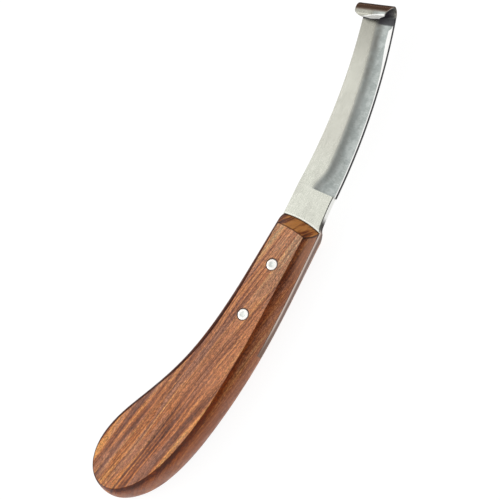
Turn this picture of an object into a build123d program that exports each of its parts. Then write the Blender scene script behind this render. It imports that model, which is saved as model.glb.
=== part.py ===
from build123d import *
import math
import os

# Hoof knife: a curved steel blade with a rolled hook at its tip, its flat tang let into a saw
# kerf in a one-piece hardwood handle and held by two flush pins.
#
# Frame: X runs along the line of the two pins towards the tip, Z is up, and -Y is the side of
# the cutting edge. The origin is midway between the pins, on the flat far face that the knife
# rests on. All sizes are in millimetres and degrees.

# Handle
HANDLE_THICKNESS = 15.7
NECK_X = 31.9               # front end of the handle, where the blade comes out
NECK_Y = 1.9                # where the crown of the two front bevels is highest
BEVEL_LENGTH = 5.4          # how far the bevels run back along the handle
BEVEL_RADIUS = 50.0         # the bevels are slightly crowned across the handle
ARRIS_ROUNDING = 0.4        # sanded edges of the two flat faces
SECTION_LEVELS = (-1.0, -0.55, 0.0, 0.55, 1.0)   # heights of the lofted outlines, in half thicknesses

# Outline of the two flat faces, from the cutting edge side of the neck round the butt to the
# back of the neck: x, y, and how far the rounded side bulges beyond it at mid thickness.
HANDLE_OUTLINE = (
    (32.5, -5.6, 2.3),
    (10.0, -6.3, 3.5),
    (-15.0, -7.2, 4.0),
    (-40.0, -7.15, 3.4),
    (-60.1, -5.7, 2.1),
    (-77.5, -1.4, 1.9),
    (-89.7, 5.7, 1.7),
    (-94.3, 13.8, 2.0),
    (-92.3, 20.9, 2.1),
    (-84.5, 25.4, 2.7),
    (-73.0, 24.9, 3.3),
    (-58.0, 19.5, 3.2),
    (-40.0, 12.1, 3.8),
    (-20.0, 7.7, 4.3),
    (5.0, 6.5, 3.9),
    (32.5, 6.7, 2.8),
)

# Tang and pins
STEEL_THICKNESS = 3.0
TANG_FRONT_X = 30.9         # where the tang's full width gives way to the ricasso
TANG_END_X = -23.5
KERF_RADIUS = 40.0          # the kerf ends in the arc of the saw that cut it
KERF_Y = -0.8
PIN_DIAMETER = 4.6
PIN_ROUNDING = 0.35
PIN_DISH_RADIUS = 1.2       # both ends are slightly dished inside the rim
PIN_DISH_DEPTH = 0.05
PIN_SPACING = 22.0

# Blade
HEEL_X = 44.8               # where the ground part of the blade starts
HEEL_Y = 2.3
GROUND_LENGTH = 72.4        # from the heel to the start of the hook
HEEL_HEADING = 4.0          # direction of the blade seen from above
TIP_HEADING = 17.0
TIP_RISE_ANGLE = 8.0        # the blade also bows up, away from the flat ricasso
TIP_THICKNESS = 1.5
HEEL_SPINE, TIP_SPINE = 8.7, 5.9        # back of the blade from its centre line
HEEL_EDGE, TIP_EDGE = -7.85, -7.4       # cutting edge from the centre line
EDGE_EASE = 0.3             # broken corners along the back of the blade and the ricasso
EDGE_LAND = 0.7             # thickness left at the cutting edge
HONED_HEIGHT = 0.12         # height of the honed bevel above the land
HONED_WIDTH = 0.45
HONED_SPREAD = 1.25         # how much wider the honed bevel gets towards the tip
HONED_SPREAD_AT = 0.87      # where it is widest, and how quickly it narrows again, as
HONED_SPREAD_LENGTH = 0.14  # fractions of the ground length
SHOULDER_WIDTH = 0.22       # the hollow grind begins as a round shoulder this much of its width,
SOLE_WIDTH = 0.62           # and its last part is nearly level,
SOLE_HEIGHT = 0.1           # this much of its depth above the honed bevel
HOLLOW_SWEEP = 2.4          # the hollow starts this far behind the centre line at the heel
SWEEP_LENGTH = 0.14         # and comes back to it within this fraction of the ground length
BLADE_STATIONS = 41

# Ricasso, the flat neck between the wood and the ground part: its edge side is waisted
RICASSO_EDGE = -7.5         # at the heel, from the centre line
RICASSO_WAIST = (35.3, -6.3)
TANG_BACK, TANG_EDGE = 10.0, -7.9       # its flared end, inside the wood
WAIST_HEADINGS = ((-1.0, -0.05), (-0.8, -1.0))  # of its edge side, at the heel and in the wood

# Hook
HOOK_OUTER_RADIUS = 3.7
HOOK_TURN = 232.0
HOOK_FLARE = 1.4            # the hook widens this much at the back of the blade
HOOK_STATIONS = 24
FACET_ANGLE = 239.0         # way that the facet ground on the hook's free end faces
FACET_DISTANCE = 2.62       # of its plane from the hook's axis, at the facet's middle
FACET_MIDDLE = 5.0          # of the facet, from the hook's cutting edge
FACET_WIDTH = 5.0
FACET_TAPER = 0.13          # how fast the facet runs out towards the back

CLEAR = 60.0                # size of the cutting tools where it only has to be large enough

half = HANDLE_THICKNESS / 2
mid_plane = Plane.XY.offset(half)


def outward_directions(points):
    """Unit vectors pointing out of the outline, square to the line between the neighbours."""
    directions = []
    last = len(points) - 1
    for i in range(len(points)):
        before = points[max(i - 1, 0)]
        after = points[min(i + 1, last)]
        along = Vector(after[0] - before[0], after[1] - before[1], 0).normalized()
        directions.append(Vector(-along.Y, along.X, 0))
    directions[0] = Vector(0, -1, 0)
    directions[last] = Vector(0, 1, 0)
    return directions


def side_bulge(bulge, height):
    """How far a side that is a circular arc stands out, at a height from mid thickness."""
    radius = (bulge ** 2 + half ** 2) / (2 * bulge)
    return math.sqrt(radius ** 2 - height ** 2) - (radius - bulge)


def chord_parameters(points):
    """Spline parameters spaced as the outline's points are, the same for every level."""
    lengths = [0.0]
    for a, b in zip(points, points[1:]):
        lengths.append(lengths[-1] + math.hypot(b[0] - a[0], b[1] - a[1]))
    return [length / lengths[-1] for length in lengths]


def handle_blank():
    """The handle before its kerf and bevels: flat faces, sides that are arcs from face to face."""
    directions = outward_directions(HANDLE_OUTLINE)
    parameters = chord_parameters(HANDLE_OUTLINE)
    wires = []
    for level in SECTION_LEVELS:
        height = level * half
        points = []
        for (x, y, bulge), direction in zip(HANDLE_OUTLINE, directions):
            out = side_bulge(bulge, height)
            points.append(Vector(x, y, half + height) + direction * out)
        around = Edge.make_spline(points, parameters=parameters)
        front = Edge.make_line(points[-1], points[0])
        wires.append(Wire([around, front]))
    return Solid.make_loft(wires)


def front_bevel():
    """What the near front bevel takes off: everything in front of a slightly crowned slope."""
    top = Vector(NECK_X - BEVEL_LENGTH, NECK_Y, HANDLE_THICKNESS)
    foot = Vector(NECK_X, NECK_Y, half + STEEL_THICKNESS / 2)
    slope = (foot - top).normalized()
    outward = slope.cross(Vector(0, 1, 0))
    plane = Plane(origin=top, x_dir=outward, z_dir=slope)
    reach = BEVEL_RADIUS / 5
    block = Box(3 * reach, CLEAR, CLEAR)
    crown = Pos(-BEVEL_RADIUS, 0, 0) * Cylinder(BEVEL_RADIUS, 2 * CLEAR)
    return plane.location * (block - crown)


def saw_disc():
    """The flat disc of space that the saw cuts, which the tang fills."""
    centre = (TANG_END_X + KERF_RADIUS, KERF_Y, half)
    return Pos(*centre) * Cylinder(KERF_RADIUS, STEEL_THICKNESS)


def pin_hole(x):
    return Pos(x, 0, half) * Cylinder(PIN_DIAMETER / 2, HANDLE_THICKNESS)


def make_pin(x):
    """A pin ground flush with the wood, rounded at both rims and dished in the middle."""
    pin = pin_hole(x)
    pin = fillet(pin.edges().filter_by(GeomType.CIRCLE), PIN_ROUNDING)
    ball_radius = (PIN_DISH_RADIUS ** 2 + PIN_DISH_DEPTH ** 2) / (2 * PIN_DISH_DEPTH)
    reach = half + ball_radius - PIN_DISH_DEPTH
    for side in (-1, 1):
        pin = pin - Pos(x, 0, half + side * reach) * Sphere(ball_radius)
    return pin


def make_handle(blank, holes):
    bevel = front_bevel()
    handle = blank - bevel - mirror(bevel, about=mid_plane)
    faces = handle.faces().filter_by(Axis.Z)
    handle = fillet(faces.edges(), ARRIS_ROUNDING)
    return handle - saw_disc() - holes


def station(fraction):
    """Plane across the blade: its x towards the back, its y towards the near face."""
    heading = math.radians(HEEL_HEADING + (TIP_HEADING - HEEL_HEADING) * fraction)
    start = math.radians(HEEL_HEADING)
    turn_radius = GROUND_LENGTH / math.radians(TIP_HEADING - HEEL_HEADING)
    bow_radius = GROUND_LENGTH / math.sin(math.radians(TIP_RISE_ANGLE))
    rise = math.asin(GROUND_LENGTH * fraction / bow_radius)
    centre = Vector(
        HEEL_X + turn_radius * (math.sin(heading) - math.sin(start)),
        HEEL_Y - turn_radius * (math.cos(heading) - math.cos(start)),
        half + bow_radius * (1 - math.cos(rise)),
    )
    across = Vector(-math.sin(heading), math.cos(heading), 0)
    along = Vector(
        math.cos(heading) * math.cos(rise),
        math.sin(heading) * math.cos(rise),
        math.sin(rise),
    )
    return Plane(origin=centre, x_dir=across, z_dir=along)


def between(start, end, fraction):
    return start + (end - start) * fraction


def honed_width(fraction):
    """Width of the honed bevel, which broadens shortly before the hook."""
    away = (fraction - HONED_SPREAD_AT) / HONED_SPREAD_LENGTH
    return HONED_WIDTH + HONED_SPREAD * math.exp(-away ** 2)


def hollow_start(fraction):
    """Where the hollow grind begins, from the centre line: it sweeps towards the back at the heel."""
    left = max(0.0, 1 - fraction / SWEEP_LENGTH)
    return HOLLOW_SWEEP * left ** 2 * (3 - 2 * left)


def blade_section(plane, fraction, flare=0.0):
    """Flat far side and back half, a hollow-ground half that begins as a soft shoulder, and the
    honed bevel above a narrow land."""
    thickness = between(STEEL_THICKNESS, TIP_THICKNESS, fraction)
    spine = between(HEEL_SPINE, TIP_SPINE, fraction) + flare
    edge = between(HEEL_EDGE, TIP_EDGE, fraction)
    far, near = -thickness / 2, thickness / 2
    honed = (edge + honed_width(fraction), far + EDGE_LAND + HONED_HEIGHT)
    start = (hollow_start(fraction), near)
    width = start[0] - honed[0]
    shoulder = (start[0] - SHOULDER_WIDTH * width, near)
    sole = (honed[0] + SOLE_WIDTH * width, between(honed[1], near, SOLE_HEIGHT))
    eased = (spine, near - EDGE_EASE), (spine - EDGE_EASE, near)
    with BuildLine(plane) as outline:
        Polyline((edge, far), (spine, far), *eased, start)
        Bezier(start, shoulder, sole, honed)
        Polyline(honed, (edge, far + EDGE_LAND), (edge, far))
    return outline.wire()


def ground_blade():
    sections = []
    for i in range(BLADE_STATIONS):
        fraction = i / (BLADE_STATIONS - 1)
        sections.append(blade_section(station(fraction), fraction))
    return Solid.make_loft(sections)


def ricasso(heel):
    """Flat full-thickness neck between the wood and the heel, flared where it enters the wood."""
    heel_back = heel.from_local_coords((HEEL_SPINE, 0, 0))
    heel_edge = heel.from_local_coords((RICASSO_EDGE, 0, 0))
    back_end = (heel_back.X, heel_back.Y)
    edge_end = (heel_edge.X, heel_edge.Y)
    tang_back = (TANG_FRONT_X, TANG_BACK)
    tang_edge = (TANG_FRONT_X, TANG_EDGE)
    with BuildPart() as neck:
        with BuildSketch(mid_plane):
            with BuildLine():
                Polyline(tang_edge, tang_back, back_end, edge_end)
                Spline(edge_end, RICASSO_WAIST, tang_edge, tangents=WAIST_HEADINGS)
            make_face()
        extrude(amount=STEEL_THICKNESS / 2, both=True)
        upper = neck.faces().sort_by(Axis.Z)[-1].edges()
        lengthwise = upper.filter_by(lambda edge: abs(edge.tangent_at(0.5).X) > 0.7)
        chamfer(lengthwise, EDGE_EASE)
    return neck.part


def hook():
    """The tip's section rolled up and back, flaring a little, its free end cut and ground."""
    tip = station(1.0)
    inner_radius = HOOK_OUTER_RADIUS - TIP_THICKNESS
    centre = tip.origin + tip.y_dir * (inner_radius + TIP_THICKNESS / 2)
    sections = []
    for i in range(HOOK_STATIONS):
        turn = HOOK_TURN * i / (HOOK_STATIONS - 1)
        direction = tip.z_dir.rotate(Axis(tip.origin, -tip.x_dir), turn)
        arm = (tip.origin - centre).rotate(Axis(tip.origin, -tip.x_dir), turn)
        rolled = Plane(origin=centre + arm, x_dir=tip.x_dir, z_dir=direction)
        flare = HOOK_FLARE * math.sin(math.radians(min(turn, 180) / 2))
        sections.append(blade_section(rolled, 1.0, flare))
    frame = Plane(origin=centre, x_dir=tip.z_dir, z_dir=tip.y_dir)   # x forward, y to the back
    cuts = hook_end_cut() + hook_facet()
    return Solid.make_loft(sections) - frame.location * cuts


def hook_end_cut():
    """What is cut from the hook's free end, in the hook's own frame: a long slope at the
    cutting edge, a nearly straight end and a round corner at the back."""
    back = TIP_SPINE + HOOK_FLARE
    slope = ((2.9, TIP_EDGE), (0.4, TIP_EDGE + 1.9), (-1.0, TIP_EDGE + 2.4))
    end = ((-2.8, TIP_EDGE + 4.9), (-2.0, back - 3.4))
    corner = (-1.4, back - 1.0)
    corner_start = (-0.2, back)
    with BuildSketch() as sketch:
        with BuildLine():
            Polyline(*slope, *end)
            ThreePointArc(end[-1], corner, corner_start)
            Polyline(
                corner_start,
                (corner_start[0], CLEAR),
                (-CLEAR, CLEAR),
                (-CLEAR, -CLEAR),
                (slope[0][0], -CLEAR),
                slope[0],
            )
        make_face()
    return extrude(sketch.sketch, 2 * HOOK_OUTER_RADIUS)


def hook_facet():
    """Cutter for the facet ground across the free end, deepest at the cutting edge."""
    angle = math.radians(FACET_ANGLE)
    facing = Vector(math.sin(angle), 0, -math.cos(angle))
    middle = facing * FACET_DISTANCE + Vector(0, TIP_EDGE + FACET_MIDDLE, 0)
    tilted = (facing - Vector(0, FACET_TAPER, 0)).normalized()
    plane = Plane(origin=middle, x_dir=(0, 1, 0), z_dir=tilted)
    depth = HOOK_OUTER_RADIUS
    return plane.location * (Pos(0, 0, depth / 2) * Box(CLEAR, FACET_WIDTH, depth))


def make_blade(blank, holes):
    tang = split(blank & saw_disc(), bisect_by=Plane.YZ.offset(TANG_FRONT_X), keep=Keep.BOTTOM)
    return tang + ricasso(station(0.0)) + ground_blade() + hook() - holes


def main():
    blank = handle_blank()
    front_x, rear_x = PIN_SPACING / 2, -PIN_SPACING / 2
    holes = pin_hole(front_x) + pin_hole(rear_x)
    nodes = {
        "handle": make_handle(blank, holes),
        "blade": make_blade(blank, holes),
        "front_rivet": make_pin(front_x),
        "rear_rivet": make_pin(rear_x),
    }
    os.makedirs("parts", exist_ok=True)
    for name, shape in nodes.items():
        export_step(shape, f"parts/{name}.step")


main()
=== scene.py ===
import math

import bpy
from mathutils import Matrix, Vector


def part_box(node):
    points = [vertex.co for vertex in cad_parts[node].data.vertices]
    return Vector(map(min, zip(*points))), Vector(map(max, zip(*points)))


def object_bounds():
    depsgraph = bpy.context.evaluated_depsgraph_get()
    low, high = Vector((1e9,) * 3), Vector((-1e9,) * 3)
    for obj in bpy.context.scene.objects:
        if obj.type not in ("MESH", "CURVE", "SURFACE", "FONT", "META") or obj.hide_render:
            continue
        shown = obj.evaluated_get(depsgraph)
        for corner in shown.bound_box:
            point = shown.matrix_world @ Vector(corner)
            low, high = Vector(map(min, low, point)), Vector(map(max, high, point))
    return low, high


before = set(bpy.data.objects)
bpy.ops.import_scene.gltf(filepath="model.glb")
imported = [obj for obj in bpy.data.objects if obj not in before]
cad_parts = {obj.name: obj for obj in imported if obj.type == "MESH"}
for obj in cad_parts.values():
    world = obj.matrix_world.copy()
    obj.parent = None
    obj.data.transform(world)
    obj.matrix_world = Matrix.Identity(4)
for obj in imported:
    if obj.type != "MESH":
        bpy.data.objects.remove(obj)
cad_low, cad_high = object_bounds()

# The hoof knife's looks: wood, steel and pin finishes, a pale floor and soft light. Lengths are
# in metres, and the finishes work in millimetres, so MM is how many of them a metre has.
MM = 1000.0
PINS = ("front_rivet", "rear_rivet")

# The design's own sizes, which the finishes follow
STEEL_MIDDLE_Z = 7.85           # mid thickness of the tang and the handle
STEEL_THICKNESS = 3.0
HEEL_X, HEEL_Y = 44.8, 2.3      # where the ground part of the blade starts
GROUND_LENGTH = 72.4
HEEL_HEADING, TIP_HEADING = math.radians(4.0), math.radians(17.0)
TIP_RISE = math.radians(8.0)    # slope of the blade where the hook starts
TIP_THICKNESS, HOOK_RADIUS = 1.5, 3.7
HEEL_EDGE, TIP_EDGE = -7.85, -7.4   # cutting edge from the blade's centre line
HONED_WIDTH, HONED_SPREAD = 0.45, 1.25      # of the honed bevel, and how much it broadens
HONED_SPREAD_AT, HONED_SPREAD_LENGTH = 0.87, 0.14
NECK_X, NECK_Y = 31.9, 1.9      # where the wood ends on the steel, and the middle of its curve
NECK_CURVE = 76.2               # that curve falls back by the distance squared over this
BEVEL_LENGTH, BEVEL_RADIUS = 5.4, 50.0  # how far back the front bevels run, and their crown
KERF_X, KERF_Y, KERF_RADIUS = 16.5, -0.8, 40.0      # the disc that the saw cut for the tang
FACET_AHEAD, FACET_HEIGHT = -0.92, 0.39     # way that the facet on the hook's free end faces
FACET_TAPER, FACET_MIDDLE, FACET_DISTANCE = 0.13, -2.4, 2.62

# Camera: looks at the knife from above and a little from the cutting edge's side
CAMERA_TILT = math.radians(27.0)    # from straight down
CAMERA_LEAN = math.radians(6.0)     # of the tilt, towards the butt
CAMERA_ROLL = math.radians(59.9)
CAMERA_DISTANCE = 0.9
AIM_RIGHT, AIM_UP = -0.0028, 0.0150     # of the aimed point from the middle of the pins
SENSOR, LENS = 36.0, 169.8


class Graph:
    """The nodes of one material or world. Each call adds a node and returns its output."""

    def __init__(self, owner):
        owner.use_nodes = True
        self.tree = owner.node_tree
        self.tree.nodes.clear()

    def add(self, kind, inputs=None, output=0, **settings):
        node = self.tree.nodes.new(kind)
        for name, value in settings.items():
            setattr(node, name, value)
        for name, value in (inputs or {}).items():
            self.feed(node.inputs[name], value)
        return node.outputs[output] if node.outputs else None

    def feed(self, socket, value):
        if isinstance(value, bpy.types.NodeSocket):
            self.tree.links.new(value, socket)
        else:
            socket.default_value = value

    def math(self, operation, a, b=0.0, c=0.0):
        return self.add("ShaderNodeMath", {0: a, 1: b, 2: c}, operation=operation)

    def place(self):
        """Where a point of the knife is, in millimetres."""
        here = self.add("ShaderNodeTexCoord", output="Object")
        return self.add("ShaderNodeVectorMath", {0: here, "Scale": MM}, operation="SCALE")

    def split(self, vector):
        node = self.tree.nodes.new("ShaderNodeSeparateXYZ")
        self.feed(node.inputs[0], vector)
        return node.outputs[0], node.outputs[1], node.outputs[2]

    def join(self, x, y, z):
        return self.add("ShaderNodeCombineXYZ", {0: x, 1: y, 2: z})

    def turned(self, vector, axis, angle):
        settings = {"rotation_type": f"{axis}_AXIS"}
        return self.add("ShaderNodeVectorRotate", {"Vector": vector, "Angle": angle}, **settings)

    def stretched(self, vector, x, y, z):
        return self.add("ShaderNodeVectorMath", {0: vector, 1: (x, y, z)}, operation="MULTIPLY")

    def noise(self, vector, scale=1.0, detail=2.0, roughness=0.5, distortion=0.0):
        inputs = {
            "Vector": vector,
            "Scale": scale,
            "Detail": detail,
            "Roughness": roughness,
            "Distortion": distortion,
        }
        return self.add("ShaderNodeTexNoise", inputs)

    def step(self, value, low, high, start=0.0, end=1.0):
        """Smoothly from start to end as the value goes from low to high."""
        inputs = {"Value": value, 1: low, 2: high, 3: start, 4: end}
        return self.add("ShaderNodeMapRange", inputs, interpolation_type="SMOOTHSTEP")

    def bell(self, value, middle, width):
        """1 at the middle, falling smoothly to 0 within the width either side."""
        away = self.math("ABSOLUTE", self.math("SUBTRACT", value, middle))
        return self.step(away, 0.0, width, 1.0, 0.0)

    def colour(self, red, green, blue):
        return self.add("ShaderNodeCombineColor", {0: red, 1: green, 2: blue})

    def product(self, *values):
        total = values[0]
        for value in values[1:]:
            total = self.math("MULTIPLY", total, value)
        return total

    def length(self, vector):
        return self.add("ShaderNodeVectorMath", {0: vector}, output="Value", operation="LENGTH")

    def mix(self, factor, a, b, blend="MIX"):
        node = self.tree.nodes.new("ShaderNodeMix")
        node.data_type = "RGBA"
        node.blend_type = blend
        self.feed(node.inputs[0], factor)
        self.feed(node.inputs[6], a)
        self.feed(node.inputs[7], b)
        return node.outputs[2]

    def ramp(self, value, *stops):
        """A colour for a value, from stops of (position, colour)."""
        node = self.tree.nodes.new("ShaderNodeValToRGB")
        ramp = node.color_ramp
        while len(ramp.elements) < len(stops):
            ramp.elements.new(1.0)
        for element, (position, colour) in zip(ramp.elements, stops):
            element.position = position
            element.color = colour
        self.feed(node.inputs[0], value)
        return node.outputs[0]

    def bump(self, height, distance, strength=1.0, normal=None):
        inputs = {"Height": height, "Distance": distance, "Strength": strength}
        if normal is not None:
            inputs["Normal"] = normal
        return self.add("ShaderNodeBump", inputs)

    def surface(self, **inputs):
        """Ends the material in a Principled shader."""
        named = {name.replace("_", " "): value for name, value in inputs.items()}
        shader = self.add("ShaderNodeBsdfPrincipled", named)
        self.add("ShaderNodeOutputMaterial", {"Surface": shader})


def srgb(red, green, blue):
    """A colour given as on a colour chart, 0 to 255, as the linear values that shaders take."""
    linear = [((c / 255 + 0.055) / 1.055) ** 2.4 for c in (red, green, blue)]
    return (*linear, 1.0)


def from_pin(g, x, y, pin):
    """Distance from a pin's axis, in millimetres."""
    low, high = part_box(pin)
    middle = (low + high) / 2 * MM
    return g.length(g.join(g.math("SUBTRACT", x, middle.x), g.math("SUBTRACT", y, middle.y), 0.0))


def beyond_kerf(g, x, y):
    """How far outside the saw's disc a point is, in millimetres; negative where the tang is."""
    away = g.length(g.join(g.math("SUBTRACT", x, KERF_X), g.math("SUBTRACT", y, KERF_Y), 0.0))
    return g.math("SUBTRACT", away, KERF_RADIUS)


# ---------------------------------------------------------------- wood

GRAIN_ANGLE = math.radians(8.5)     # the grain runs this far off +X, towards the cutting edge
RING_TILT = math.radians(-21.0)     # the growth layers stand this far off upright
WOOD_GOLD = srgb(254, 194, 112)
WOOD_LIGHT = srgb(246, 164, 86)
WOOD_MIDDLE = srgb(220, 131, 66)
WOOD_BROWN = srgb(171, 93, 44)
WOOD_DARK = srgb(101, 51, 30)
WOOD_BLACK = srgb(40, 20, 14)
WOOD_GREY = srgb(186, 130, 104)
WOOD_PALE = srgb(204, 148, 118)
WOOD_RED = srgb(150, 74, 36)

# The broad dark layers: distance across the grain, half width, strength
DARK_LAYERS = (
    (9.4, 1.0, 0.55),
    (6.8, 1.2, 0.6),
    (3.9, 0.5, 0.4),
    (1.0, 0.8, 0.6),
    (-1.4, 0.4, 0.4),
    (-4.0, 1.2, 0.85),
    (-9.8, 1.2, 0.5),
)


def wood_tone(g, wandering):
    """Colour of the growth layers, broad to narrow, and of the fibres in them."""
    broad = g.noise(g.stretched(wandering, 0.006, 0.24, 0.03), detail=2.0)
    narrow = g.noise(g.stretched(wandering, 0.014, 1.1, 0.1), detail=3.0, roughness=0.6)
    fibre = g.noise(g.stretched(wandering, 0.09, 4.6, 0.9), detail=4.0, roughness=0.65)
    tone = g.math("MULTIPLY_ADD", broad, 1.3, -1.42)
    tone = g.math("MULTIPLY_ADD", narrow, 1.6, tone)
    tone = g.math("MULTIPLY_ADD", fibre, 0.95, tone)
    stops = (0.1, WOOD_DARK), (0.3, WOOD_BROWN), (0.5, WOOD_MIDDLE), (0.7, WOOD_LIGHT), (0.95, WOOD_GOLD)
    return g.ramp(tone, *stops), narrow, fibre


def wood_streaks(g, colour, x, wandering, layer, narrow):
    """Greyer and paler parts, the broad dark layers and the thin dark lines."""
    cast = g.noise(g.stretched(wandering, 0.03, 0.3, 0.13), detail=2.0)
    colour = g.mix(g.step(cast, 0.44, 0.62, 0.0, 0.6), colour, WOOD_GREY)
    colour = g.mix(g.step(x, -72.0, -34.0, 0.0, 0.3), colour, WOOD_PALE)
    for middle, half_width, strength in DARK_LAYERS:
        band = g.bell(layer, middle, half_width)
        ragged = g.step(narrow, 0.66, 0.38)
        colour = g.mix(g.product(band, ragged, strength), colour, WOOD_DARK)
    lines = g.noise(g.stretched(wandering, 0.013, 2.3, 0.2), detail=3.0, roughness=0.65)
    return g.mix(g.step(lines, 0.47, 0.35, 0.0, 0.65), colour, WOOD_DARK)


def wood_pores(g, colour, grain):
    """Open pores: short dark dashes along the grain, and a few clusters of darker flecks."""
    dashes = g.noise(g.stretched(grain, 0.45, 5.0, 5.0), detail=2.0, roughness=0.6)
    pores = g.step(dashes, 0.54, 0.68)
    clusters = g.step(g.noise(g.stretched(grain, 0.07, 0.3, 0.3), detail=1.0), 0.55, 0.68)
    flecks = g.step(g.noise(g.stretched(grain, 0.8, 4.0, 4.0), detail=3.0), 0.5, 0.62)
    flecks = g.product(flecks, clusters)
    colour = g.mix(g.product(pores, 0.55), colour, WOOD_DARK)
    colour = g.mix(g.product(flecks, 0.5), colour, WOOD_BLACK)
    speck = g.noise(g.stretched(grain, 1.1, 2.8, 2.8), detail=2.0, roughness=0.7)
    shade = g.step(speck, 0.32, 0.68, 0.56, 1.38)
    return g.mix(1.0, colour, g.colour(shade, shade, shade), "MULTIPLY"), pores, flecks


def wood_sides(g, colour, x, z, normal_y, facing, mottle):
    """The rounded sides: painted shade beside the arrises and towards the butt, redder at mid
    thickness and paler there with a painted sheen, and darkest along the back with painted shade."""
    side = g.step(g.math("ABSOLUTE", facing), 0.9, 0.76)
    # Painted shade: the side that faces the back, and the rim beside it, are made nearly black.
    back = g.product(g.step(facing, 0.985, 0.93), g.step(normal_y, 0.12, 0.3))
    colour = g.mix(g.product(back, 0.8), colour, (0.055, 0.013, 0.003, 1))
    off_middle = g.math("ABSOLUTE", g.math("SUBTRACT", z, STEEL_MIDDLE_Z))
    # Painted shade: the sides darken beside the arrises, and more towards the butt.
    band = g.step(g.math("MULTIPLY_ADD", mottle, 3.0, off_middle), 5.2, 9.0)
    dull = g.math("MULTIPLY_ADD", band, 0.88, g.step(x, -20.0, -60.0, 0.04, 0.42))
    colour = g.mix(g.product(side, dull), colour, (0.34, 0.15, 0.035, 1), "MULTIPLY")
    # Painted shade: darkest beside the arrises towards the butt, in mottled patches.
    painted_shading = g.product(g.step(x, -40.0, -70.0, 0.0, 0.7), g.step(off_middle, 4.8, 6.6))
    colour = g.mix(g.product(side, painted_shading, g.step(mottle, 0.35, 0.58)), colour, (0.06, 0.014, 0.004, 1))
    specks = g.step(mottle, 0.56, 0.66)
    colour = g.mix(g.product(side, specks, 0.45), colour, WOOD_DARK)
    colour = g.mix(g.product(side, g.step(off_middle, 6.5, 3.5, 0.0, 0.35)), colour, WOOD_RED)
    # Painted sheen: the sides are paler towards mid thickness.
    return g.mix(g.product(side, g.step(off_middle, 4.6, 2.2, 0.0, 0.25)), colour, WOOD_GREY)


def under_bevel(g, x, y, off_middle, half):
    """How deep a point near the neck lies under the front bevel on its side, in millimetres."""
    lean = math.atan2(BEVEL_LENGTH, half - STEEL_THICKNESS / 2)
    ahead = g.math("MULTIPLY", g.math("SUBTRACT", x, NECK_X - BEVEL_LENGTH), math.cos(lean))
    height = g.math("SUBTRACT", off_middle, half)
    out = g.math("MULTIPLY_ADD", height, math.sin(lean), g.math("ADD", ahead, BEVEL_RADIUS))
    off_crown = g.math("SUBTRACT", y, NECK_Y)
    return g.math("SUBTRACT", BEVEL_RADIUS, g.length(g.join(out, off_crown, 0.0)))


def wood_neck(g, colour, x, y, z, normal_x, facing, top, grain, narrow):
    """The flats are paler towards the neck, and the sides paler there with a painted sheen. The
    front bevels are banded across the grain and dark along their arrises."""
    flat = g.step(g.math("ABSOLUTE", facing), 0.93, 0.99)
    pale = g.product(g.step(x, 4.0, 22.0), g.step(narrow, 0.38, 0.6), flat)
    colour = g.mix(pale, colour, (0.03, 0.08, 0.07, 1), "ADD")
    bevel = g.step(normal_x, 0.5, 0.7)
    along, across, depth = g.split(grain)
    slanting = g.join(along, g.math("MULTIPLY_ADD", along, 0.45, across), depth)
    bands = g.noise(g.stretched(slanting, 0.05, 0.62, 0.08), detail=3.0, roughness=0.55)
    gold = g.ramp(bands, (0.36, WOOD_DARK), (0.42, WOOD_BROWN), (0.5, WOOD_LIGHT))
    colour = g.mix(g.product(bevel, 0.85), colour, gold)
    ahead = g.step(x, 22.0, 24.0)
    rounded = g.product(g.bell(normal_x, 0.36, 0.3), ahead)
    off_middle = g.math("ABSOLUTE", g.math("SUBTRACT", z, STEEL_MIDDLE_Z))
    side = g.product(g.step(g.math("ABSOLUTE", facing), 0.93, 0.85), g.step(normal_x, 0.5, 0.3))
    # Painted sheen: the sides turn paler towards mid thickness near the neck.
    painted_shading = g.product(g.step(x, 6.0, 20.0, 0.0, 0.5), g.step(off_middle, 6.6, 5.0), side)
    colour = g.mix(painted_shading, colour, WOOD_PALE)
    under = under_bevel(g, x, y, off_middle, top - STEEL_MIDDLE_Z)
    upper = g.step(g.math("SUBTRACT", top - STEEL_MIDDLE_Z, off_middle), 0.5, 0.1)
    line = g.math("MAXIMUM", rounded, g.product(bevel, upper))
    line = g.math("MAXIMUM", line, g.product(side, g.step(under, 1.0, 0.3), ahead))
    return g.mix(g.product(line, 0.8), colour, WOOD_BLACK)


def wood_seams(g, colour, x, y, z):
    """Dirt and shadow gather where the wood meets steel."""
    off_middle = g.math("ABSOLUTE", g.math("SUBTRACT", z, STEEL_MIDDLE_Z))
    from_steel = g.math("SUBTRACT", off_middle, STEEL_THICKNESS / 2)
    beside = g.step(beyond_kerf(g, x, y), 0.1, -0.3)
    reach = g.step(x, 27.0, 28.5, 0.5, 1.1)
    seam = g.product(g.step(from_steel, reach, 0.05), beside)
    colour = g.mix(g.product(seam, 0.85), colour, WOOD_BLACK)
    below = g.product(g.step(z, 6.6, 6.3), g.step(from_steel, 2.6, 0.6), beside)
    colour = g.mix(g.product(below, 0.7), colour, (0.14, 0.095, 0.08, 1))
    for pin in PINS:
        low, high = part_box(pin)
        radius = (high.x - low.x) / 2 * MM
        away = g.math("SUBTRACT", from_pin(g, x, y, pin), radius)
        colour = g.mix(g.step(away, 0.5, 0.05, 0.0, 0.8), colour, WOOD_BLACK)
    return colour


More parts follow.
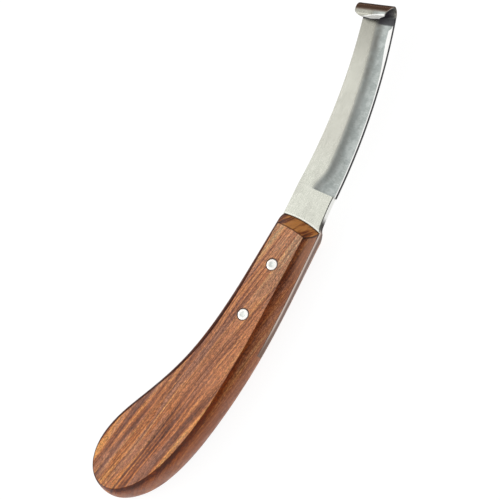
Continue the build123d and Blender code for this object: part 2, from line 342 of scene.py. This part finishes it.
def wood():
    material = bpy.data.materials.new("rosewood")
    g = Graph(material)
    here = g.place()
    x, y, z = g.split(here)
    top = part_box("handle")[1].z * MM
    board = g.add("ShaderNodeVectorMath", {0: here, 1: (0, 0, -top)}, operation="ADD")
    grain = g.turned(g.turned(board, "Z", GRAIN_ANGLE), "X", RING_TILT)
    normal_x, normal_y, facing = g.split(g.add("ShaderNodeNewGeometry", output="Normal"))

    # The layers wander a little along the board
    drift = g.noise(g.stretched(grain, 0.016, 0.07, 0.07), detail=1.0)
    length, across, depth = g.split(grain)
    layer = g.math("ADD", across, g.math("MULTIPLY_ADD", drift, 6.0, -3.0))
    wandering = g.join(length, layer, depth)

    colour, narrow, fibre = wood_tone(g, wandering)
    colour = wood_streaks(g, colour, x, wandering, layer, narrow)
    colour, pores, flecks = wood_pores(g, colour, grain)
    mottle = g.noise(g.stretched(grain, 0.5, 1.1, 1.1), detail=4.0, roughness=0.7)
    colour = wood_sides(g, colour, x, z, normal_y, facing, mottle)
    colour = wood_neck(g, colour, x, y, z, normal_x, facing, top, grain, narrow)
    colour = wood_seams(g, colour, x, y, z)

    finish = g.noise(g.stretched(here, 0.25, 0.25, 0.25), detail=3.0)
    roughness = g.step(finish, 0.3, 0.7, 0.34, 0.5)
    ripple = g.noise(g.stretched(here, 0.11, 0.2, 0.2), detail=1.0)
    wavy = g.bump(ripple, 0.0006, 0.5)
    height = g.math("SUBTRACT", g.math("MULTIPLY", fibre, 0.5), g.math("ADD", pores, flecks))
    shine = g.product(g.step(facing, 0.8, 0.95, 0.45, 1.0), g.step(normal_y, 0.1, 0.35, 0.5, 0.04))
    g.surface(
        Base_Color=colour,
        Roughness=roughness,
        Specular_IOR_Level=shine,
        Normal=g.bump(height, 0.00006, 0.7, wavy),
        IOR=1.45,
    )
    return material


# ---------------------------------------------------------------- steel

FRESH_STEEL = (0.98, 0.98, 0.96, 1)     # honed or freshly ground


def blade_place(g, x, y):
    """Distance along the ground blade from the heel, as a fraction, and across it in millimetres,
    both measured on the arc that its centre line follows."""
    turn = TIP_HEADING - HEEL_HEADING
    radius = GROUND_LENGTH / turn
    centre_x = HEEL_X - radius * math.sin(HEEL_HEADING)
    centre_y = HEEL_Y + radius * math.cos(HEEL_HEADING)
    from_x = g.math("SUBTRACT", x, centre_x)
    from_y = g.math("SUBTRACT", centre_y, y)
    heading = g.math("ARCTAN2", from_x, from_y)
    fraction = g.math("DIVIDE", g.math("SUBTRACT", heading, HEEL_HEADING), turn)
    across = g.math("SUBTRACT", radius, g.length(g.join(from_x, from_y, 0.0)))
    return fraction, across


def steel_masks(g, fraction, across, facing):
    """How far a point belongs to each worked surface of the steel, from 0 to 1."""
    near = g.step(facing, 0.35, 0.5)
    side = g.step(g.math("ABSOLUTE", facing), 0.6, 0.35)
    on_blade = g.product(g.step(fraction, -0.003, 0.003), g.step(fraction, 1.01, 0.985))
    edge = g.math("MULTIPLY_ADD", fraction, TIP_EDGE - HEEL_EDGE, HEEL_EDGE)
    from_edge = g.math("SUBTRACT", across, edge)
    away = g.math("DIVIDE", g.math("SUBTRACT", fraction, HONED_SPREAD_AT), HONED_SPREAD_LENGTH)
    spread = g.math("EXPONENT", g.product(away, away, -1.0))
    width = g.math("MULTIPLY_ADD", spread, HONED_SPREAD, HONED_WIDTH)
    width = g.math("MULTIPLY_ADD", g.step(fraction, 0.922, 0.945), -1.0, width)
    honed = g.step(g.math("SUBTRACT", width, from_edge), -0.38, -0.22)
    # Painted shade along the cutting edge: on the edge faces (rim) and on the near face within about
    # half a millimetre of the edge (corner).
    corner = g.product(g.step(from_edge, 0.5, 0.3), near)
    rim = g.product(side, g.step(from_edge, 1.2, 0.6))
    sweep = g.step(fraction, 0.14, 0.0, 0.0, 2.4)
    inward = g.math("SUBTRACT", sweep, across)
    ground = g.step(inward, -0.4, 1.6)
    return {
        "near": near,
        "side": side,
        "honed": g.product(honed, near, on_blade),
        "ground": g.product(ground, near, on_blade),
        "shoulder": g.product(g.bell(inward, 1.4, 2.7), near, on_blade),
        "land": g.product(g.math("MAXIMUM", rim, corner), on_blade),
    }


def roll_place(g, here):
    """Distance in millimetres from the axis that the hook is rolled about, and how far a point
    is beyond that axis, along it from the blade's centre line and above it."""
    radius = GROUND_LENGTH / (TIP_HEADING - HEEL_HEADING)
    start = Vector((
        HEEL_X + radius * (math.sin(TIP_HEADING) - math.sin(HEEL_HEADING)),
        HEEL_Y - radius * (math.cos(TIP_HEADING) - math.cos(HEEL_HEADING)),
        STEEL_MIDDLE_Z + GROUND_LENGTH * math.tan(TIP_RISE / 2),
    ))
    slope = Vector((math.cos(TIP_HEADING), math.sin(TIP_HEADING), 0)) * -math.sin(TIP_RISE)
    inward = slope + Vector((0, 0, math.cos(TIP_RISE)))
    axis = start + inward * (HOOK_RADIUS - TIP_THICKNESS / 2)
    centred = g.add("ShaderNodeVectorMath", {0: here, 1: tuple(-axis)}, operation="ADD")
    ahead, across, height = g.split(g.turned(centred, "Z", -TIP_HEADING))
    return g.length(g.join(ahead, 0.0, height)), ahead, across, height


def worked_faces(g, here, fraction, mask, wheel):
    """Colour of the rolled flat, the hollow grind, the soft shoulder between them, darkened with
    painted shade, and the honed edge. The flat darkens towards the tip, and the hollow is smudged
    and blotched."""
    mottle = g.noise(g.stretched(here, 0.55, 0.8, 0.8), detail=4.0, roughness=0.6)
    smudge = g.noise(g.stretched(here, 0.13, 0.24, 0.24), detail=3.0)
    blotch = g.noise(g.stretched(here, 0.30, 0.42, 0.42), detail=3.0)

    flat = g.mix(g.step(mottle, 0.3, 0.7), (0.61, 0.62, 0.545, 1), (0.68, 0.685, 0.61, 1))
    flat = g.mix(g.step(fraction, 0.05, 0.3, 0.0, 0.5), flat, (0.50, 0.485, 0.43, 1))
    flat = g.mix(g.step(fraction, 0.6, 1.0, 0.0, 0.8), flat, (0.32, 0.315, 0.27, 1))
    flat = g.mix(g.step(smudge, 0.52, 0.64, 0.0, 0.22), flat, (0.42, 0.42, 0.37, 1))

    hollow = g.mix(g.step(wheel, 0.3, 0.7), (0.42, 0.455, 0.43, 1), (0.58, 0.62, 0.60, 1))
    hollow = g.mix(g.step(smudge, 0.42, 0.62, 0.0, 0.6), hollow, (0.62, 0.66, 0.64, 1))
    hollow = g.mix(g.step(blotch, 0.56, 0.40, 0.0, 0.35), hollow, (0.28, 0.32, 0.31, 1))

    colour = g.mix(mask["ground"], flat, hollow)
    # Painted shade along the shoulder between the flat and the hollow.
    painted_shoulder_shade = g.math("MULTIPLY_ADD", g.step(fraction, 0.35, 1.0), 0.28, 0.36)
    painted_shoulder_shade = g.math("MULTIPLY", painted_shoulder_shade, g.step(blotch, 0.3, 0.62, 0.65, 1.25))
    colour = g.mix(g.product(mask["shoulder"], painted_shoulder_shade), colour, (0.17, 0.16, 0.14, 1))
    return g.mix(mask["honed"], colour, FRESH_STEEL)


def unworked_edges(g, colour, x, y, z, fraction, mask):
    """Colour of the edges that the wheel never touched: the tang's, darker low down with painted
    shade and tarnished between the wood, the ricasso's, dark beside the wood with painted shade,
    and the blade's, with a line of painted shade along the cutting edge."""
    # Painted shade: the tang's edge is lighter on its upper part and darker on its lower part.
    tang = g.mix(g.step(z, 7.4, 9.1), (0.21, 0.135, 0.11, 1), (0.66, 0.56, 0.50, 1))
    tarnish = g.step(beyond_kerf(g, x, y), -16.0, -1.0, 0.0, 0.85)
    tang = g.mix(tarnish, tang, (0.17, 0.095, 0.065, 1))
    # Painted shade: the ricasso's sides are nearly black beside the wood.
    ricasso_and_blade_sides = g.mix(g.step(x, 34.0, 37.5), (0.05, 0.045, 0.04, 1), (0.86, 0.86, 0.83, 1))
    ricasso_and_blade_sides = g.mix(g.step(fraction, -0.01, 0.01), ricasso_and_blade_sides, (0.34, 0.34, 0.31, 1))
    edges = g.mix(g.step(x, 30.8, 32.4), tang, ricasso_and_blade_sides)
    colour = g.mix(mask["side"], colour, edges)
    return g.mix(mask["land"], colour, (0.035, 0.035, 0.035, 1))


def roll_colours(g, colour, here, mask):
    """The roll is dark inside and under its lip with painted shade, brown outside with a painted
    reflection, and bright on the facet ground across its free end with a painted highlight. Also
    gives the masks of the painted shade and of the facet."""
    distance, ahead, along, height = roll_place(g, here)
    # Painted shade inside the roll, and a painted shadow under its lip.
    painted_roll_shade = g.product(g.step(distance, 3.1, 2.75), g.step(ahead, -2.3, -1.9))
    painted_lip_shadow = g.product(g.step(ahead, -3.5, -2.7), g.step(height, -1.0, -1.4), mask["ground"])
    painted_roll_shade = g.math("MAXIMUM", painted_roll_shade, g.product(painted_lip_shadow, 0.85))
    colour = g.mix(painted_roll_shade, colour, (0.045, 0.040, 0.052, 1))

    # Painted reflection: the roll's outside is tinted brown.
    painted_brown_reflection = g.product(g.step(distance, 3.2, 3.5), g.step(ahead, -0.5, 1.2))
    colour = g.mix(painted_brown_reflection, colour, (0.88, 0.50, 0.38, 1), "MULTIPLY")

    toward = g.math("MULTIPLY_ADD", along, -FACET_TAPER, FACET_TAPER * FACET_MIDDLE)
    toward = g.math("MULTIPLY_ADD", ahead, FACET_AHEAD, toward)
    toward = g.math("MULTIPLY_ADD", height, FACET_HEIGHT, toward)
    on_roll = g.step(distance, HOOK_RADIUS + 0.3, HOOK_RADIUS + 0.1)
    # Painted highlight: the facet on the free end is mixed to white and made less metallic.
    painted_facet_highlight = g.product(g.step(toward, FACET_DISTANCE - 0.25, FACET_DISTANCE - 0.1), on_roll)
    return g.mix(g.product(painted_facet_highlight, 0.85), colour, FRESH_STEEL), painted_roll_shade, painted_facet_highlight


def contact_line(g, colour, x, y, mask):
    """A bright line on the steel along the curve where the wood ends."""
    off = g.math("SUBTRACT", y, NECK_Y)
    contact = g.math("SUBTRACT", NECK_X, g.math("DIVIDE", g.product(off, off), NECK_CURVE))
    line = g.product(g.bell(g.math("SUBTRACT", x, contact), 0.42, 0.32), mask["near"])
    return g.mix(g.product(line, 0.6), colour, (0.96, 0.96, 0.90, 1))


def steel():
    material = bpy.data.materials.new("blade_steel")
    g = Graph(material)
    here = g.place()
    x, y, z = g.split(here)
    fraction, across = blade_place(g, x, y)
    facing = g.split(g.add("ShaderNodeNewGeometry", output="Normal"))[2]
    mask = steel_masks(g, fraction, across, facing)

    polish = g.noise(g.stretched(here, 0.25, 2.6, 2.6), detail=4.0, roughness=0.6)
    along = g.math("MULTIPLY", fraction, GROUND_LENGTH)
    scratches = g.join(g.math("MULTIPLY", along, 2.2), g.math("MULTIPLY", across, 0.7), z)
    wheel = g.noise(scratches, detail=4.0, roughness=0.65)

    colour = worked_faces(g, here, fraction, mask, wheel)
    colour = unworked_edges(g, colour, x, y, z, fraction, mask)
    colour, painted_roll_shade, painted_facet_highlight = roll_colours(g, colour, here, mask)
    colour = contact_line(g, colour, x, y, mask)

    roughness = g.math("MULTIPLY_ADD", mask["ground"], 0.12, 0.26)
    roughness = g.math("MULTIPLY_ADD", mask["honed"], -0.2, roughness)
    roughness = g.math("MAXIMUM", roughness, g.math("MULTIPLY", painted_roll_shade, 0.6))
    roughness = g.math("MAXIMUM", roughness, g.math("MULTIPLY", mask["side"], 0.5))
    dull = g.math("MAXIMUM", g.math("MAXIMUM", painted_roll_shade, mask["land"]), painted_facet_highlight)
    relief = g.mix(mask["ground"], polish, wheel)
    g.surface(
        Base_Color=colour,
        Metallic=g.math("MULTIPLY_ADD", dull, -0.5, 1.0),
        Roughness=roughness,
        Normal=g.bump(relief, 0.00003, 0.6),
    )
    return material


def pin_metal():
    """Pins ground flush: a dull middle and a rounded rim made brighter with a painted highlight."""
    material = bpy.data.materials.new("pin_metal")
    g = Graph(material)
    here = g.place()
    x, y, z = g.split(here)
    front, rear = (from_pin(g, x, y, pin) for pin in PINS)
    away = g.math("MINIMUM", front, rear)
    scuff = g.noise(g.stretched(here, 1.5, 1.5, 1.5), detail=4.0)
    dull = g.mix(g.step(scuff, 0.3, 0.7), (0.52, 0.55, 0.52, 1), (0.70, 0.72, 0.68, 1))
    # Painted highlight: the rim is lighter than the middle.
    rim = g.step(away, 0.9, 1.6)
    g.surface(
        Base_Color=g.mix(rim, dull, (0.82, 0.79, 0.75, 1)),
        Metallic=1.0,
        Roughness=g.step(scuff, 0.3, 0.7, 0.3, 0.42),
        Normal=g.bump(scuff, 0.00004, 0.4),
    )
    return material


def finish_node(name, material):
    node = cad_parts[name]
    node.data.materials.clear()
    node.data.materials.append(material)


# ---------------------------------------------------------------- floor, light and camera

def add_floor():
    size = 3.0
    mesh = bpy.data.meshes.new("floor")
    corners = [(-size, -size, 0), (size, -size, 0), (size, size, 0), (-size, size, 0)]
    mesh.from_pydata(corners, [], [(0, 1, 2, 3)])
    floor = bpy.data.objects.new("floor", mesh)
    floor.location.z = cad_low.z - 0.0002
    bpy.context.scene.collection.objects.link(floor)
    material = bpy.data.materials.new("floor")
    g = Graph(material)
    g.surface(
        Base_Color=(0.15, 0.15, 0.15, 1),
        Roughness=0.9,
        Emission_Color=(1, 1, 1, 1),
        Emission_Strength=0.92,
    )
    mesh.materials.append(material)


def add_card():
    """A dark card lying beyond the tip, just out of sight, that the polished roll mirrors."""
    mesh = bpy.data.meshes.new("card")
    near_x, far_x = cad_high.x + 0.004, cad_high.x + 0.25
    corners = [(near_x, -0.12, 0), (far_x, -0.12, 0), (far_x, 0.2, 0), (near_x, 0.2, 0)]
    mesh.from_pydata(corners, [], [(0, 1, 2, 3)])
    card = bpy.data.objects.new("card", mesh)
    card.location.z = cad_low.z - 0.0001
    bpy.context.scene.collection.objects.link(card)
    material = bpy.data.materials.new("card")
    g = Graph(material)
    g.surface(Base_Color=(0.12, 0.12, 0.12, 1), Roughness=0.8)
    mesh.materials.append(material)
    card.visible_camera = False
    card.visible_diffuse = False
    card.visible_shadow = False


OVERHEAD = Vector((0.05, 0.42, 0.9)).normalized()   # the middle of the soft overhead light


def add_world():
    """A broad soft light overhead and behind, dim towards the horizon and dark beyond the tip."""
    world = bpy.data.worlds.new("studio")
    bpy.context.scene.world = world
    g = Graph(world)
    way = g.add("ShaderNodeTexCoord", output="Generated")
    x, y, z = g.split(way)
    toward = {0: way, 1: tuple(OVERHEAD)}
    aligned = g.add("ShaderNodeVectorMath", toward, output="Value", operation="DOT_PRODUCT")
    front = g.step(aligned, 0.2, 0.95, 0.12, 1.0)
    banded = g.math("MULTIPLY_ADD", g.bell(x, -0.36, 0.2), -0.4, 1.0)
    lit = g.product(front, banded)
    flank = g.product(g.bell(x, -0.72, 0.3), 0.7)
    light = g.math("ADD", lit, flank)
    beyond = g.step(x, 0.1, 0.42)
    colour = g.mix(beyond, g.colour(light, light, light), (0.20, 0.20, 0.20, 1))
    seen = g.add("ShaderNodeLightPath", output="Is Camera Ray")
    colour = g.mix(seen, colour, (1, 1, 1, 1))
    background = g.add("ShaderNodeBackground", {"Color": colour, "Strength": 1.0})
    g.add("ShaderNodeOutputWorld", {"Surface": background})


def add_key_light():
    """A broad lamp on the side of the knife's back, aimed at the origin."""
    light = bpy.data.lights.new("key", "AREA")
    light.shape = "SQUARE"
    light.size = 1.0
    light.energy = 6.0
    lamp = bpy.data.objects.new("key", light)
    lamp.location = (-0.38, 0.8, 0.66)
    lamp.rotation_euler = (-lamp.location).to_track_quat("-Z", "Y").to_euler()
    bpy.context.scene.collection.objects.link(lamp)


def add_camera():
    tilt, lean = CAMERA_TILT, CAMERA_LEAN
    back = Vector((-math.sin(tilt) * math.sin(lean), -math.sin(tilt) * math.cos(lean), math.cos(tilt)))
    level = (Vector((1, 0, 0)) - back * back.x).normalized()
    upright = back.cross(level)
    right = level * math.cos(CAMERA_ROLL) - upright * math.sin(CAMERA_ROLL)
    up = level * math.sin(CAMERA_ROLL) + upright * math.cos(CAMERA_ROLL)
    front, rear = ((low + high) / 2 for low, high in map(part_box, PINS))
    target = (front + rear) / 2
    target.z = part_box("handle")[1].z
    target += right * AIM_RIGHT + up * AIM_UP
    data = bpy.data.cameras.new("camera")
    data.sensor_width = SENSOR
    data.lens = LENS
    camera = bpy.data.objects.new("camera", data)
    axes = Matrix((right, up, back)).transposed().to_4x4()
    camera.matrix_world = Matrix.Translation(target + back * CAMERA_DISTANCE) @ axes
    bpy.context.scene.collection.objects.link(camera)
    bpy.context.scene.camera = camera


finish_node("handle", wood())
finish_node("blade", steel())
pin_finish = pin_metal()
for pin in PINS:
    finish_node(pin, pin_finish)

add_floor()
add_card()
add_world()
add_key_light()
add_camera()
bpy.context.scene.view_settings.view_transform = "Standard"
